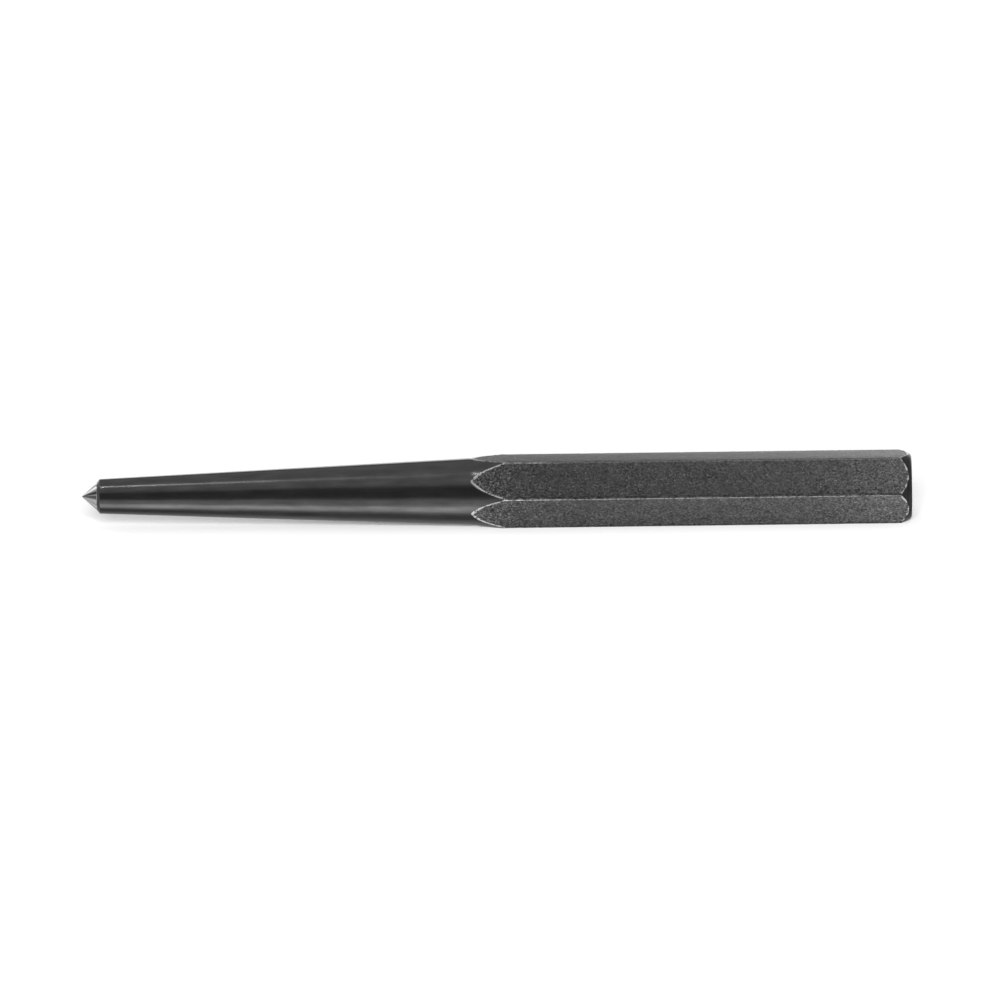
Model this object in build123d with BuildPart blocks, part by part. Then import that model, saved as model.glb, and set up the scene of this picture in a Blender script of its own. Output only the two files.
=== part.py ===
from build123d import *
from math import radians, sin, tan
import os

# Center punch, made from one length of hexagonal tool steel bar. The front half
# is ground round and tapers to a conical point. The rear half keeps the bar's
# six flats, and is chamfered at the striking end.
# Millimetres and degrees. The punch lies on one flat, with its axis along X, its
# point towards -X and its origin under the middle of its length.
# Each angle with "side" in its name is measured from the axis.

# Bar
LENGTH = 117.475  # 4 5/8 in, from the tip to the striking face
ACROSS_FLATS = 9.525  # 3/8 in
CORNER_RADIUS = 0.3  # along the bar's six edges

# Point, ground after the shoulder was turned
POINT_SIDE_ANGLE = 42
POINT_BASE_DIAMETER = 3.84
TIP_RADIUS = 0.12

# Shoulder, the bevel between the point and the shank
SHOULDER_SIDE_ANGLE = 50
SHOULDER_RADIUS = 0.2  # where it meets the shank

# Shank, and the flare where it runs out into the bar
SHANK_SIDE_ANGLE = 2.5
SHANK_END_DIAMETER = 4.92  # at the shoulder
SHANK_LENGTH = 55.5  # from the tip to the flare
FLARE_SIDE_ANGLE = 9
FLARE_RADIUS = 9  # between the shank and the flare
GROUND_DIAMETER = 12  # the flare and the chamfer run out past the bar's corners

# Striking end
CHAMFER_SIDE_ANGLE = 32
STRIKING_DIAMETER = 8.9  # before its edge is rounded
STRIKING_EDGE_RADIUS = 0.6


def slope(side_angle):
    """Radius gained for each millimetre along the axis."""
    return tan(radians(side_angle))


# Corners of the ground outline, each (distance from the tip, radius)
blunting = TIP_RADIUS * (1 / sin(radians(POINT_SIDE_ANGLE)) - 1)
base_radius = POINT_BASE_DIAMETER / 2
shank_radius = SHANK_END_DIAMETER / 2
ground_radius = GROUND_DIAMETER / 2
striking_radius = STRIKING_DIAMETER / 2

point_base = (base_radius / slope(POINT_SIDE_ANGLE) - blunting, base_radius)
shoulder_length = (shank_radius - base_radius) / slope(SHOULDER_SIDE_ANGLE)
shank_start = (point_base[0] + shoulder_length, shank_radius)
taper_rise = (SHANK_LENGTH - shank_start[0]) * slope(SHANK_SIDE_ANGLE)
flare_start = (SHANK_LENGTH, shank_radius + taper_rise)
flare_length = (ground_radius - flare_start[1]) / slope(FLARE_SIDE_ANGLE)
flare_end = (SHANK_LENGTH + flare_length, ground_radius)
chamfer_length = (ground_radius - striking_radius) / slope(CHAMFER_SIDE_ANGLE)
chamfer_start = (LENGTH - chamfer_length, ground_radius)
striking_edge = (LENGTH, striking_radius)
striking_centre = (LENGTH, 0)

tip = (-LENGTH / 2, 0, ACROSS_FLATS / 2)
outline_plane = Plane(origin=tip, x_dir=(1, 0, 0), z_dir=(0, -1, 0))
bar_plane = Plane(origin=tip, x_dir=(0, 1, 0), z_dir=(1, 0, 0))

with BuildPart() as center_punch:
    # Everything that is ground is round about the tool's axis
    with BuildSketch(outline_plane):
        with BuildLine():
            nose = JernArc((0, 0), (0, 1), TIP_RADIUS, POINT_SIDE_ANGLE - 90)
            Line(nose @ 1, point_base)
            FilletPolyline(
                [point_base, shank_start, flare_start, flare_end],
                radius=[SHOULDER_RADIUS, FLARE_RADIUS],
            )
            Line(flare_end, chamfer_start)
            FilletPolyline(
                [chamfer_start, striking_edge, striking_centre],
                radius=STRIKING_EDGE_RADIUS,
            )
            Line(striking_centre, (0, 0))
        make_face()
    revolve(axis=Axis(tip, (1, 0, 0)))
    # The bar's own six sides cut it down, which leaves a pointed scallop on each
    # flat at the flare and a shallow arc at the chamfer
    with BuildSketch(bar_plane) as bar_section:
        RegularPolygon(radius=ACROSS_FLATS / 2, side_count=6, major_radius=False)
        fillet(bar_section.vertices(), CORNER_RADIUS)
    extrude(amount=LENGTH, mode=Mode.INTERSECT)

center_punch.part.label = "center_punch"
os.makedirs("parts", exist_ok=True)
export_step(center_punch.part, "parts/center_punch.step")
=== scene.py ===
import math

import bpy
import numpy as np
from mathutils import Matrix, Vector, noise


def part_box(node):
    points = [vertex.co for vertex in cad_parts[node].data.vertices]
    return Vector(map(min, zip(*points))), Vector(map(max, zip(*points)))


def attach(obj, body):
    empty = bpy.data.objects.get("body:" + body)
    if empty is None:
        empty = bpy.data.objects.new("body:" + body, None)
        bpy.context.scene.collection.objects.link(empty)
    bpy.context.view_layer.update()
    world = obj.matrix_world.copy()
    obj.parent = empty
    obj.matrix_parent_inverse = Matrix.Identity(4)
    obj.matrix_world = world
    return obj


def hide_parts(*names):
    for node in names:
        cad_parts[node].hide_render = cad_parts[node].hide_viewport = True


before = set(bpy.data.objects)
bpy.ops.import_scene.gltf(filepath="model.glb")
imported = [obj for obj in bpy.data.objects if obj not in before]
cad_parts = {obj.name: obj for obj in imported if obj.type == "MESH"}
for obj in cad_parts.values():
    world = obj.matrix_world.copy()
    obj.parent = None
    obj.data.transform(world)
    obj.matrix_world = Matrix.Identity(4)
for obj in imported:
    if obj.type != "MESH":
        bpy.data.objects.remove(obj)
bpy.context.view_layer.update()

MM = 0.001

# ---------------------------------------------------------------- dimensions
# The punch is worked out in millimetres, with x from its tip and r from its
# axis, and placed in the frame's own box at the end. A SIDE is the angle that a
# surface makes with the axis.
LOW, HIGH = (Vector(corner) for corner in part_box("center_punch"))
LENGTH = (HIGH.x - LOW.x) / MM
ACROSS_FLATS = (HIGH.z - LOW.z) / MM
AXIS_START = Vector((LOW.x, (LOW.y + HIGH.y) / 2, (LOW.z + HIGH.z) / 2))

CORNER_RADIUS = 0.3
POINT_SIDE = math.radians(42)
POINT_BASE_RADIUS = 1.92
TIP_RADIUS = 0.12
SHOULDER_SIDE = math.radians(50)
SHOULDER_RADIUS = 0.2
SHANK_END_RADIUS = 2.46
SHANK_SIDE = math.radians(2.5)
SHANK_LENGTH = 55.5
FLARE_SIDE = math.radians(9)
FLARE_RADIUS = 9
GROUND_RADIUS = 6
CHAMFER_SIDE = math.radians(32)
STRIKING_RADIUS = 4.45
STRIKING_EDGE_RADIUS = 0.6

# Mesh: how many columns of points go round the bar, and how far apart its rows are
HALF_FLAT_STEPS = 11
CORNER_STEPS = 6
POINT_STEP = 0.12
SHANK_STEP = 0.42
BAR_STEP = 0.22
CHAMFER_STEP = 0.2
FACE_STEP = 0.3
POINT_BASE_GAP = 0.03  # between the point's last row and its base
WARP_LENGTH = 4  # of the shank, over which the rows bend to follow the scallops

# Surface relief
FLAT_WAVE = 0.012
FLAT_WAVES_PER_MM = 0.35
MILL_SCALE = 0.009
MILL_SCALE_PER_MM = 1.5
PIT_COUNT = 260
PIT_BIAS = (1.7, 1.1)  # of a beta distribution that leans towards the striking end
PIT_RADII = (0.12, 0.38)
PIT_STRETCHES = (0.8, 1.8)  # how much longer a pit is along the bar than across it
PIT_DEPTHS = (0.0066, 0.022)
EDGE_NICK = 0.05
GROUND_WAVE = 0.002
BURR_HEIGHT = 0.02
BURR_HALF_WIDTH = 0.09
SEED = 7

# The four surfaces, in the order of the mesh's material slots
POINT, GROUND, ROLLED, STRUCK = range(4)


# ------------------------------------------------------------------- outline
def rounded(corners, radii, steps=10):
    """Points (x, r) of a line through corners, with each inner corner rounded."""
    corners = np.array(corners, dtype=float)
    points = [corners[0]]
    for before, at, after, radius in zip(corners, corners[1:], corners[2:], radii):
        back = (before - at) / np.hypot(*(before - at))
        onward = (after - at) / np.hypot(*(after - at))
        inward = (back + onward) / np.hypot(*(back + onward))
        forward = (onward - back) / np.hypot(*(onward - back))
        half_turn = math.pi / 2 - math.acos(inward @ onward)
        centre = at + inward * radius / math.cos(half_turn)
        for turn in np.linspace(-half_turn, half_turn, steps + 1):
            spoke = forward * math.sin(turn) - inward * math.cos(turn)
            points.append(centre + spoke * radius)
    points.append(corners[-1])
    return np.array(points)


def next_corner(start, radius, side):
    """Where a line from a point, at an angle to the axis, reaches a radius."""
    return (start[0] + (radius - start[1]) / math.tan(side), radius)


BLUNTING = TIP_RADIUS * (1 / math.sin(POINT_SIDE) - 1)
NOSE_FLAT = TIP_RADIUS * math.tan(math.pi / 4 - POINT_SIDE / 2)
POINT_BASE = next_corner((-BLUNTING, 0), POINT_BASE_RADIUS, POINT_SIDE)
SHANK_START = next_corner(POINT_BASE, SHANK_END_RADIUS, SHOULDER_SIDE)
FLARE_START_RADIUS = SHANK_END_RADIUS + (SHANK_LENGTH - SHANK_START[0]) * math.tan(SHANK_SIDE)
FLARE_START = (SHANK_LENGTH, FLARE_START_RADIUS)
FLARE_END = next_corner(FLARE_START, GROUND_RADIUS, FLARE_SIDE)
CHAMFER_START = next_corner((LENGTH, STRIKING_RADIUS), GROUND_RADIUS, -CHAMFER_SIDE)

NOSE = rounded([(0, 0), (0, NOSE_FLAT), POINT_BASE], [TIP_RADIUS], 4)
SHANK = rounded([POINT_BASE, SHANK_START, FLARE_START, FLARE_END], [SHOULDER_RADIUS, FLARE_RADIUS])
END = rounded([CHAMFER_START, (LENGTH, STRIKING_RADIUS), (LENGTH, 0)], [STRIKING_EDGE_RADIUS], 7)
SHOULDER_POINTS = 12  # of the shank's outline, up to where its taper starts


def ground_radius(x):
    """Radius of the shank and the flare."""
    return np.interp(x, SHANK[:, 0], SHANK[:, 1])


def chamfer_radius(x):
    """Radius of the chamfer."""
    return STRIKING_RADIUS + (LENGTH - x) * math.tan(CHAMFER_SIDE)


def bar_columns():
    """The lengthwise lines of points round the bar: angle, radius, and distance from a corner."""
    half = ACROSS_FLATS / 2
    flat_end = (half - CORNER_RADIUS) * math.tan(math.pi / 6)
    corner_centre = (half - CORNER_RADIUS) / math.cos(math.pi / 6)
    flat = np.linspace(0, flat_end, HALF_FLAT_STEPS + 1)[:-1]
    turn = np.linspace(-math.pi / 6, math.pi / 6, CORNER_STEPS + 1)
    y = corner_centre + CORNER_RADIUS * np.cos(turn)
    z = CORNER_RADIUS * np.sin(turn)
    rising = -math.pi / 6 + np.arctan(flat / half)
    falling = -rising[:0:-1]
    offsets = np.concatenate([rising, np.arctan2(z, y), falling])
    radii = np.concatenate([np.hypot(half, flat), np.hypot(y, z), np.hypot(half, flat)[:0:-1]])
    inset = np.concatenate([flat_end - flat, np.zeros(len(turn)), (flat_end - flat)[:0:-1]])
    angles = np.concatenate([offsets + corner * math.pi / 3 for corner in range(6)])
    return angles, np.tile(radii, 6), np.tile(inset, 6)


# ---------------------------------------------------------------------- mesh
ANGLES, BAR_RADII, CORNER_INSET = bar_columns()
COLUMNS = len(ANGLES)
# Where each column meets the flare and the chamfer
SCALLOP = np.interp(BAR_RADII, SHANK[:, 1], SHANK[:, 0])
ARCH = LENGTH - (BAR_RADII - STRIKING_RADIUS) / math.tan(CHAMFER_SIDE)


def spread(first, last, step):
    """Evenly spaced values between two others, without the first and about a step apart."""
    count = max(2, round(abs(float(np.max(last - first))) / step))
    return [first + (last - first) * i / count for i in range(1, count + 1)]


def ring(x, r):
    """A row of points on a circle about the axis."""
    return np.full(COLUMNS, float(x)), np.full(COLUMNS, float(r))


def punch_rows():
    """Rows of points from the tip to the striking face, each (x, r) with the surface it starts."""
    # The nose's outline starts twice on the axis, and its last point but one starts the cone
    rows = [(*ring(x, r), POINT) for x, r in NOSE[2:-1]]
    cone_start = NOSE[-2]
    for x in spread(cone_start[0], POINT_BASE[0] - POINT_BASE_GAP, POINT_STEP):
        r = cone_start[1] + (x - cone_start[0]) * math.tan(POINT_SIDE)
        rows.append((*ring(x, r), POINT))
    rows += [(*ring(x, r), GROUND) for x, r in SHANK[:SHOULDER_POINTS]]
    warp_start = SHANK_LENGTH - WARP_LENGTH
    for x in spread(SHANK[SHOULDER_POINTS - 1, 0], warp_start, SHANK_STEP):
        rows.append((*ring(x, ground_radius(x)), GROUND))
    for x in spread(np.full(COLUMNS, warp_start), SCALLOP - BURR_HALF_WIDTH, BAR_STEP):
        rows.append((x, ground_radius(x), GROUND))
    rows.append((SCALLOP, BAR_RADII, ROLLED))
    first, last = SCALLOP + BURR_HALF_WIDTH, ARCH - BURR_HALF_WIDTH
    rows.append((first, BAR_RADII, ROLLED))
    for x in spread(first, last, BAR_STEP):
        rows.append((x, BAR_RADII, ROLLED))
    rows.append((ARCH, BAR_RADII, STRUCK))
    first = ARCH + BURR_HALF_WIDTH / 2
    rows.append((first, chamfer_radius(first), STRUCK))
    # The rounded striking edge runs from the end's second point to its last but one
    edge_start, edge_end = END[1], END[-2]
    for x in spread(first, np.full(COLUMNS, edge_start[0]), CHAMFER_STEP):
        rows.append((x, chamfer_radius(x), STRUCK))
    rows += [(*ring(x, r), STRUCK) for x, r in END[2:-1]]
    rows += [(*ring(LENGTH, r), STRUCK) for r in spread(edge_end[1], FACE_STEP, FACE_STEP)]
    return rows


def relief(x, r, region):
    """How far each point of the mesh is pressed in, in millimetres."""
    rng = np.random.default_rng(SEED)
    y, z = r * np.cos(ANGLES), r * np.sin(ANGLES)
    wave = np.zeros_like(x)
    scale = np.zeros_like(x)
    for i, j in np.ndindex(x.shape):
        p = Vector((x[i, j], y[i, j], z[i, j]))
        wave[i, j] = noise.noise(p * FLAT_WAVES_PER_MM)
        scale[i, j] = noise.fractal(p * MILL_SCALE_PER_MM, 1.0, 2.0, 3)
    rolled = (region == ROLLED)[:, None] & (CORNER_INSET > 0)
    depth = np.where(rolled, FLAT_WAVE * (wave + 0.5) + MILL_SCALE * np.abs(scale), 0)
    depth += np.where((region == GROUND)[:, None], GROUND_WAVE * (wave + 0.5), 0)
    # Small pits in the mill scale, more of them towards the striking end
    for _ in range(PIT_COUNT):
        at = rng.beta(*PIT_BIAS) * (LENGTH - SHANK_LENGTH) + SHANK_LENGTH
        column = rng.integers(COLUMNS)
        radius = rng.uniform(*PIT_RADII)
        near = ((x - at) / rng.uniform(*PIT_STRETCHES)) ** 2
        near += (y - BAR_RADII[column] * np.cos(ANGLES[column])) ** 2
        near += (z - BAR_RADII[column] * np.sin(ANGLES[column])) ** 2
        pit = rng.uniform(*PIT_DEPTHS) * np.exp(-near / radius**2)
        depth += np.where(rolled, pit, 0)
    # Nicks along the bar's corners
    corner = (region == ROLLED)[:, None] & (CORNER_INSET == 0)
    nick = np.maximum(scale - 0.25, 0) + 0.15 * np.abs(wave)
    depth += np.where(corner, EDGE_NICK * nick, 0)
    return depth


def build_punch():
    """The whole tool as one closed mesh."""
    rows = punch_rows()
    x = np.array([row[0] for row in rows])
    r = np.array([row[1] for row in rows])
    region = np.array([row[2] for row in rows])
    # A fine burr stands along the scallops, where grinding broke through the scale
    burr = BURR_HEIGHT * np.exp(-(((x - SCALLOP) / BURR_HALF_WIDTH) ** 2))
    r = r - relief(x, r, region) + burr
    points = np.stack([x, r * np.cos(ANGLES), r * np.sin(ANGLES)], axis=-1).reshape(-1, 3)
    points = np.concatenate([points, [[0, 0, 0], [LENGTH, 0, 0]]])
    tip, back = len(points) - 2, len(points) - 1
    last_row = (len(rows) - 1) * COLUMNS

    faces, surfaces = [], []
    for j in range(COLUMNS):
        k = (j + 1) % COLUMNS
        faces.append((tip, k, j))
        surfaces.append(POINT)
        faces.append((back, last_row + j, last_row + k))
        surfaces.append(STRUCK)
        for i in range(len(rows) - 1):
            a, b = i * COLUMNS, (i + 1) * COLUMNS
            faces.append((a + j, a + k, b + k, b + j))
            surfaces.append(int(region[i]))
    mesh = bpy.data.meshes.new("punch_steel")
    placed = [AXIS_START + Vector(p) * MM for p in points]
    mesh.from_pydata(placed, [], faces)
    mesh.polygons.foreach_set("material_index", surfaces)
    mesh.polygons.foreach_set("use_smooth", [True] * len(faces))
    store_distances(mesh, x)
    mesh.update()
    punch = bpy.data.objects.new("punch_steel", mesh)
    bpy.context.scene.collection.objects.link(punch)
    return punch


def store_distances(mesh, x):
    """Stores how far each point is, in millimetres, from the edges that handling rubs bright."""
    across = np.gradient(np.unwrap(ANGLES)) * BAR_RADII
    distances = {
        "from_scallop": np.abs(x - SCALLOP) / np.hypot(1, np.gradient(SCALLOP) / across),
        "from_chamfer": np.abs(x - ARCH) / np.hypot(1, np.gradient(ARCH) / across),
        "from_corner": np.broadcast_to(CORNER_INSET, x.shape),
        "from_point_base": np.abs(x - POINT_BASE[0]),
    }
    for name, values in distances.items():
        # The tip and the middle of the striking face are far from every edge
        values = np.append(values.reshape(-1), [LENGTH, LENGTH])
        attribute = mesh.attributes.new(name, "FLOAT", "POINT")
        attribute.data.foreach_set("value", values.astype(np.float32))


# ----------------------------------------------------------------- materials
BARE_STEEL = (0.72, 0.715, 0.705)
LINE_SHARPNESS = 22.0  # how steeply bare steel gives way to oxide, per millimetre
STREAK_AND_HIGHLIGHT_SHIFT = 9.1  # chooses where the grinding marks fall on the point, and with them the painted highlight along its upper side


def new_material(name, roughness=0.4):
    material = bpy.data.materials.new(name)
    material.use_nodes = True
    tree = material.node_tree
    shader = tree.nodes["Principled BSDF"]
    shader.inputs["Metallic"].default_value = 1.0
    shader.inputs["Roughness"].default_value = roughness
    return material, tree, shader


def node(tree, kind, **settings):
    made = tree.nodes.new(kind)
    for key, value in settings.items():
        setattr(made, key, value)
    return made


def connect(tree, socket, value):
    """Links a socket to another node's output, or sets it to a number or colour."""
    if isinstance(value, bpy.types.NodeSocket):
        tree.links.new(value, socket)
    elif isinstance(value, tuple) and len(value) == 3 and socket.type == "RGBA":
        socket.default_value = (*value, 1.0)
    elif value is not None:
        socket.default_value = value


def math_node(tree, operation, first, second=None, third=None, clamp=False):
    made = node(tree, "ShaderNodeMath", operation=operation, use_clamp=clamp)
    for socket, value in zip(made.inputs, (first, second, third)):
        connect(tree, socket, value)
    return made.outputs[0]


def vector_node(tree, operation, first, second=None):
    made = node(tree, "ShaderNodeVectorMath", operation=operation)
    for socket, value in zip(made.inputs, (first, second)):
        connect(tree, socket, value)
    return made.outputs[0]


def place(tree, stretch=(1, 1, 1)):
    """The piece's own coordinates in millimetres, squeezed along each axis."""
    coordinates = node(tree, "ShaderNodeTexCoord")
    mapping = node(tree, "ShaderNodeMapping")
    mapping.inputs["Scale"].default_value = [s / MM for s in stretch]
    tree.links.new(coordinates.outputs["Object"], mapping.inputs["Vector"])
    return mapping.outputs["Vector"]


def from_axis(tree, stretch=(1, 1, 1)):
    """The same coordinates, with y and z measured from the tool's axis."""
    return vector_node(tree, "SUBTRACT", place(tree, stretch), (0, 0, ACROSS_FLATS / 2))


def split(tree, vector):
    """The X, Y and Z of a vector, by name."""
    made = node(tree, "ShaderNodeSeparateXYZ")
    tree.links.new(vector, made.inputs[0])
    return made.outputs


def map_range(tree, value, first, last, high=1.0, **settings):
    """Goes from none to a high value while its input goes from the first to the last."""
    made = node(tree, "ShaderNodeMapRange", **settings)
    for socket, number in zip(made.inputs, (value, first, last, 0.0, high)):
        connect(tree, socket, number)
    return made.outputs[0]


def along(tree, first, last):
    """Rises from none to one between two distances from the tip, in millimetres."""
    start = LOW.x / MM
    return map_range(tree, split(tree, place(tree))["X"], start + first, start + last)


def noise_node(tree, vector, scale, detail=3.0, rough=0.55):
    made = node(tree, "ShaderNodeTexNoise")
    made.inputs["Scale"].default_value = scale
    made.inputs["Detail"].default_value = detail
    made.inputs["Roughness"].default_value = rough
    tree.links.new(vector, made.inputs["Vector"])
    return made.outputs["Fac"]


def ramp(tree, value, *stops):
    """A colour ramp of (position, grey level or colour) stops."""
    made = node(tree, "ShaderNodeValToRGB")
    elements = made.color_ramp.elements
    while len(elements) < len(stops):
        elements.new(0.5)
    for element, (position, colour) in zip(elements, stops):
        element.position = position
        shade = colour if isinstance(colour, tuple) else (colour,) * 3
        element.color = (*shade, 1.0)
    tree.links.new(value, made.inputs["Fac"])
    return made.outputs["Color"]


def mix(tree, amount, first, second):
    """Mixes two colours, all of the second where the amount is one."""
    made = node(tree, "ShaderNodeMix", data_type="RGBA")
    # A mix node has sockets for numbers and vectors too: these are its amount and its colours
    for index, value in ((0, amount), (6, first), (7, second)):
        connect(tree, made.inputs[index], value)
    return made.outputs[2]


def bump(tree, shader, height, distance):
    """Roughens a shader's surface, by a distance in millimetres where the height is one."""
    made = node(tree, "ShaderNodeBump")
    made.inputs["Distance"].default_value = distance * MM
    made.inputs["Strength"].default_value = 1.0
    tree.links.new(height, made.inputs["Height"])
    tree.links.new(made.outputs["Normal"], shader.inputs["Normal"])


def turned(tree, per_mm):
    """Distances along the tool and out from its axis, for the rings that turning leaves."""
    parts = split(tree, from_axis(tree))
    squares = [math_node(tree, "POWER", parts[axis], 2.0) for axis in "YZ"]
    radius = math_node(tree, "SQRT", math_node(tree, "ADD", *squares))
    joined = node(tree, "ShaderNodeCombineXYZ")
    for socket, distance in zip(joined.inputs, (parts["X"], radius)):
        connect(tree, socket, math_node(tree, "MULTIPLY", distance, per_mm))
    return joined.outputs[0]


def stored_distance(tree, name):
    """One of the distances stored with the mesh, in millimetres."""
    return node(tree, "ShaderNodeAttribute", attribute_name=name).outputs["Fac"]


def wide_at_scallops(tree, width):
    """A width in millimetres that doubles where the flats begin."""
    return math_node(tree, "MULTIPLY_ADD", along(tree, 57, 55.5), width, width)


def rubbed(tree, colour, name, width, bare_from, bare_to):
    """Shows bare steel along an edge, in a line that noise breaks up."""
    patches = noise_node(tree, place(tree), 1.7, 4.0, 0.6)
    reach = math_node(tree, "MULTIPLY", ramp(tree, patches, (bare_from, 0.0), (bare_to, 1.0)), width)
    inside = math_node(tree, "SUBTRACT", reach, stored_distance(tree, name))
    line = math_node(tree, "MULTIPLY", inside, LINE_SHARPNESS, clamp=True)
    return mix(tree, line, colour, BARE_STEEL)


def bare_point_material():
    material, tree, shader = new_material("bare_ground_steel", 0.2)
    # Grinding marks run from the tip to the base, so they change only round the axis. Their light and
    # dark streaks are also painted reflections: a painted highlight along the point's upper side and
    # painted shade beside it.
    direction = vector_node(tree, "NORMALIZE", from_axis(tree, (0, 1, 1)))
    shifted = vector_node(tree, "ADD", direction, (STREAK_AND_HIGHLIGHT_SHIFT, 0, 0))
    grinding_and_reflection_streaks = noise_node(tree, shifted, 2.4, 3.5, 0.65)
    tone = ramp(tree, grinding_and_reflection_streaks, (0.38, 0.03), (0.46, 0.2), (0.55, 0.9))
    tree.links.new(tone, shader.inputs["Base Color"])
    bump(tree, shader, grinding_and_reflection_streaks, 0.05)
    return material


def ground_oxide_material():
    material, tree, shader = new_material("ground_black_oxide")
    rings = noise_node(tree, place(tree, (5, 0.3, 0.3)), 1.0, 3.0, 0.6)
    clouds = noise_node(tree, place(tree, (0.25, 0.9, 0.9)), 1.0, 4.0)
    lines = noise_node(tree, place(tree, (0.06, 3.5, 3.5)), 1.0, 4.0, 0.6)
    tone = ramp(tree, math_node(tree, "MULTIPLY_ADD", lines, 0.6, clouds), (0.6, 0.1), (1.0, 0.145))
    tone = rubbed(tree, tone, "from_scallop", wide_at_scallops(tree, 0.08), 0.38, 0.52)
    tone = rubbed(tree, tone, "from_point_base", 0.1, 0.40, 0.55)
    tree.links.new(tone, shader.inputs["Base Color"])
    tree.links.new(ramp(tree, rings, (0.35, 0.17), (0.7, 0.23)), shader.inputs["Roughness"])
    bump(tree, shader, rings, 0.002)
    return material


def rolled_oxide_tone(tree, grain, specks, mottle, flaked, uneven):
    """Colour of the mill scale on the flats, the small bare specks in it, and painted light that
    brightens the flats towards the striking end.
    """
    level = math_node(tree, "MULTIPLY", math_node(tree, "SUBTRACT", grain, 0.5), uneven)
    # A little paler towards the striking end, and most of all beside its chamfer: painted light,
    # which brightens that end of the flats.
    paler_painted_light = math_node(tree, "MULTIPLY_ADD", along(tree, 60, LENGTH), 0.045, 0.44)
    paler_painted_light = math_node(tree, "MULTIPLY_ADD", along(tree, 104, 114), 0.035, paler_painted_light)
    level = math_node(tree, "ADD", level, paler_painted_light)
    level = math_node(tree, "MULTIPLY_ADD", mottle, 0.12, level)
    tone = ramp(tree, level, (0.36, 0.035), (0.5, 0.1), (0.65, 0.21))
    bared = math_node(tree, "MULTIPLY_ADD", flaked, 0.09, specks)
    return mix(tree, ramp(tree, bared, (0.65, 0.0), (0.71, 0.8)), tone, (0.36, 0.36, 0.355))


def rolled_oxide_height(tree, grain, specks, mottle, uneven, distance):
    """Height of the mill scale, on flats that fall away towards their corners."""
    height = math_node(tree, "MULTIPLY_ADD", specks, 0.5, grain)
    height = math_node(tree, "MULTIPLY", height, uneven)
    height = math_node(tree, "MULTIPLY", height, ramp(tree, distance, (0.0, 0.1), (0.15, 1.0)))
    height = math_node(tree, "MULTIPLY_ADD", mottle, 0.25, height)
    # A slight fall over most of the flat, and a turn down just before the corner
    for first, last, drop in ((-0.6, 1.8, 1.2), (-0.2, 0.25, 0.7)):
        crown = map_range(tree, distance, first, last, drop, interpolation_type="SMOOTHERSTEP")
        height = math_node(tree, "ADD", height, crown)
    return height


def rolled_oxide_material():
    material, tree, shader = new_material("rolled_black_oxide")
    grain = noise_node(tree, place(tree, (1, 1.2, 1.2)), 3.0, 3.5, 0.65)
    specks = noise_node(tree, place(tree, (3.2, 3.8, 3.8)), 1.0, 2.0)
    mottle = noise_node(tree, place(tree, (0.9, 0.7, 0.7)), 1.0, 2.0)
    patches = noise_node(tree, place(tree, (0.18, 0.45, 0.45)), 1.0, 2.0)
    # Scale has flaked off most by the scallops and by the striking end
    flaked = math_node(tree, "MAXIMUM", along(tree, 66, 58), along(tree, 100, 116))
    uneven = ramp(tree, patches, (0.35, 0.45), (0.65, 0.85))
    uneven = math_node(tree, "MULTIPLY_ADD", flaked, 0.45, uneven)
    tone = rolled_oxide_tone(tree, grain, specks, mottle, flaked, uneven)
    # The corners are rubbed smooth, and bare near the scallops
    distance = stored_distance(tree, "from_corner")
    smooth = ramp(tree, distance, (0.0, 1.0), (0.1, 0.0))
    tone = mix(tree, smooth, tone, ramp(tree, grain, (0.38, 0.09), (0.6, 0.34)))
    bare_width = math_node(tree, "MULTIPLY", along(tree, 69, 60), 0.06)
    tone = rubbed(tree, tone, "from_corner", bare_width, 0.42, 0.62)
    tone = rubbed(tree, tone, "from_scallop", wide_at_scallops(tree, 0.2), 0.38, 0.52)
    tone = rubbed(tree, tone, "from_chamfer", 0.22, 0.42, 0.58)
    tree.links.new(tone, shader.inputs["Base Color"])
    roughness = ramp(tree, grain, (0.3, 0.36), (0.7, 0.5))
    tree.links.new(mix(tree, smooth, roughness, (0.2, 0.2, 0.2)), shader.inputs["Roughness"])
    bump(tree, shader, rolled_oxide_height(tree, grain, specks, mottle, uneven, distance), 0.055)
    return material


def struck_end_material():
    material, tree, shader = new_material("turned_black_oxide")
    rings = noise_node(tree, turned(tree, 4), 1.0, 3.0)
    clouds = noise_node(tree, place(tree), 0.9, 4.0)
    tone = ramp(tree, clouds, (0.35, 0.03), (0.65, 0.06))
    tone = mix(tree, ramp(tree, rings, (0.4, 0.0), (0.65, 0.5)), tone, (0.1, 0.1, 0.1))
    tone = rubbed(tree, tone, "from_chamfer", 0.1, 0.46, 0.6)
    tree.links.new(tone, shader.inputs["Base Color"])
    tree.links.new(ramp(tree, clouds, (0.3, 0.3), (0.7, 0.42)), shader.inputs["Roughness"])
    bump(tree, shader, rings, 0.012)
    return material


punch = build_punch()
for make in (bare_point_material, ground_oxide_material, rolled_oxide_material, struck_end_material):
    punch.data.materials.append(make())
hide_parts("center_punch")
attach(punch, "root")


# -------------------------------------------------------------------- studio
MIDDLE = AXIS_START + Vector((LENGTH / 2 * MM, 0, 0))
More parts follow.
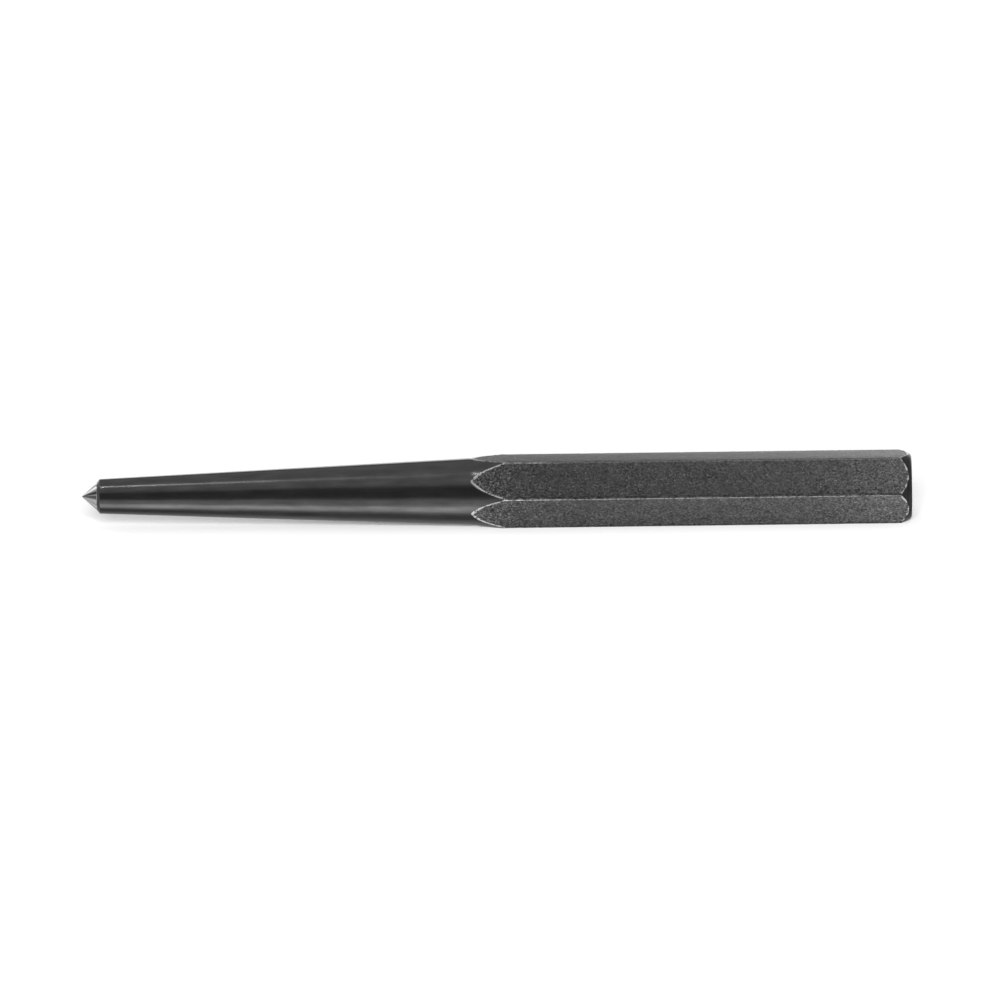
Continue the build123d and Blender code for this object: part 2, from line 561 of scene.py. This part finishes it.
# The studio round the tool, as its brightness at each angle up from the front, in degrees
STUDIO_BANDS = (
    (-180, 0.7), (-150, 0.47), (-115, 0.47), (-100, 0.28), (-84, 0.24), (-72, 0.5), (-58, 1.75),
    (-47, 1.75), (-38, 0.75), (-20, 0.65), (-5, 0.15), (30, 0.15), (40, 0.39), (53, 0.5),
    (70, 0.45), (100, 0.45), (145, 0.42), (150, 0.1), (159, 0.1), (166, 1.15), (174, 1.6), (180, 0.8),
)
STUDIO_STRENGTH = 2.0
STUDIO_END = 0.22  # grey beyond the tool's two ends, as a share of that strength
FLOOR_SIZE = 3.0  # metres
FLOOR_GAP = 0.02  # millimetres below the tool, which clears its burr
FLOOR_LIGHT_STRENGTH = 8.6
FLOOR_LIGHT_SPREAD = 30
FLOOR_LIGHT_TILT = 74  # degrees from straight down

CAMERA_ELEVATION = 13.0
CAMERA_ROLL = 0.73  # the tool lies slightly askew in the frame
CAMERA_DISTANCE = 2.6  # metres, with a long lens, so that the view is nearly flat
CAMERA_FIELD = 0.1416  # metres across the frame, at the tool
CAMERA_AIM = (0.46, -1.23)  # millimetres right and up from the tool's middle


def studio_floor():
    """A plain pale floor, which the tool doesn't mirror."""
    bpy.ops.mesh.primitive_plane_add(size=FLOOR_SIZE, location=(0, 0, -FLOOR_GAP * MM))
    floor = bpy.context.object
    floor.name = "studio_floor"
    floor.visible_glossy = False
    material = bpy.data.materials.new("pale_floor")
    material.use_nodes = True
    shader = material.node_tree.nodes["Principled BSDF"]
    shader.inputs["Base Color"].default_value = (0.9, 0.9, 0.9, 1)
    shader.inputs["Roughness"].default_value = 0.9
    shader.inputs["Specular IOR Level"].default_value = 0.0
    floor.data.materials.append(material)


def studio_world():
    """Soft light in long bands parallel to the tool, and even grey beyond its two ends."""
    world = bpy.data.worlds.new("studio_world")
    world.use_nodes = True
    bpy.context.scene.world = world
    tree = world.node_tree
    direction = split(tree, node(tree, "ShaderNodeTexCoord").outputs["Generated"])
    front = math_node(tree, "MULTIPLY", direction["Y"], -1.0)
    angle = math_node(tree, "ARCTAN2", direction["Z"], front)
    position = math_node(tree, "MULTIPLY_ADD", angle, 0.5 / math.pi, 0.5)
    stops = [((degrees + 180) / 360, level / STUDIO_STRENGTH) for degrees, level in STUDIO_BANDS]
    bands = ramp(tree, position, *stops)
    sideways = math_node(tree, "ABSOLUTE", direction["X"])
    ends = ramp(tree, sideways, (0.6, 0.0), (0.95, 1.0))
    shade = mix(tree, ends, bands, (STUDIO_END,) * 3)
    tree.links.new(shade, tree.nodes["Background"].inputs["Color"])
    tree.nodes["Background"].inputs["Strength"].default_value = STUDIO_STRENGTH


def softbox(name, angle, distance, x_middle, size, power):
    """A rectangular light facing the tool: degrees up from the front, then metres, then watts."""
    data = bpy.data.lights.new(name, "AREA")
    data.shape = "RECTANGLE"
    data.size, data.size_y = size
    data.energy = power
    light = bpy.data.objects.new(name, data)
    back = Vector((0, -math.cos(math.radians(angle)), math.sin(math.radians(angle))))
    light.location = MIDDLE + Vector((x_middle, 0, 0)) + back * distance
    light.rotation_euler = back.to_track_quat("Z", "Y").to_euler()
    bpy.context.scene.collection.objects.link(light)


def floor_light():
    """A broad even light from the front, which sends shadows back behind the tool."""
    data = bpy.data.lights.new("floor_light", "SUN")
    data.energy = FLOOR_LIGHT_STRENGTH
    data.angle = math.radians(FLOOR_LIGHT_SPREAD)
    light = bpy.data.objects.new("floor_light", data)
    light.rotation_euler = (math.radians(FLOOR_LIGHT_TILT), 0, 0)
    light.visible_glossy = False
    bpy.context.scene.collection.objects.link(light)


def studio_camera():
    data = bpy.data.cameras.new("camera")
    data.sensor_width = 36
    data.lens = data.sensor_width * CAMERA_DISTANCE / CAMERA_FIELD
    camera = bpy.data.objects.new("camera", data)
    elevation = math.radians(CAMERA_ELEVATION)
    back = Vector((0, -math.cos(elevation), math.sin(elevation)))
    roll = Matrix.Rotation(-math.radians(CAMERA_ROLL), 3, "Z")
    turn = back.to_track_quat("Z", "Y").to_matrix() @ roll
    aim = MIDDLE + turn @ Vector((*CAMERA_AIM, 0)) * MM
    camera.matrix_world = Matrix.Translation(aim + back * CAMERA_DISTANCE) @ turn.to_4x4()
    bpy.context.scene.collection.objects.link(camera)
    bpy.context.scene.camera = camera


studio_floor()
studio_world()
floor_light()
softbox("tip_strip", 77, 0.6, -0.13, (0.02, 0.03), 0.066)
softbox("point_softbox", 132, 0.25, -0.3, (0.2, 0.22), 0.09)
softbox("right_softbox", 47, 0.35, 0.15, (0.2, 0.2), 0.1)
softbox("back_softbox", 165, 0.35, 0.15, (0.2, 0.1), 0.08)
studio_camera()
bpy.context.scene.view_settings.view_transform = "Standard"
